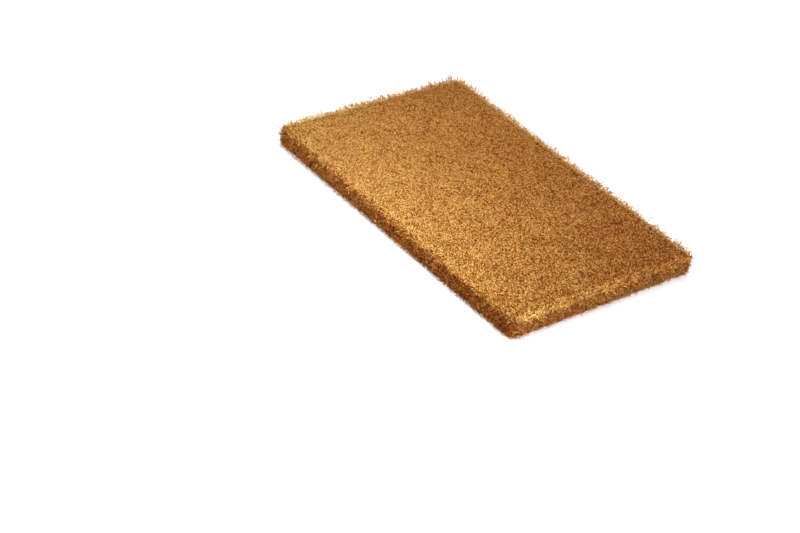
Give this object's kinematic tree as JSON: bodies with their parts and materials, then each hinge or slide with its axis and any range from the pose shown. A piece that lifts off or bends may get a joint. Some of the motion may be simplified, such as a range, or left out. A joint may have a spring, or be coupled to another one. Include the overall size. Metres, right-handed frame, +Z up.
{
  "type": "floor polishing pad",
  "caption": "Rectangular hand pad of lofty, crimped, resin-bonded fibre with soft die-cut edges, for polishing and scrubbing floors.",
  "frame": {"origin": "middle of the underside, where the pad lies on the floor", "axes": "+X along the length, +Y along the width, +Z up through the thickness"},
  "size_m": [0.229, 0.152, 0.013],
  "materials": {
    "bonded_fibre": "matte"
  },
  "bodies": {
    "root": {"fibre_pad": "bonded_fibre"}
  },
  "joints": []
}
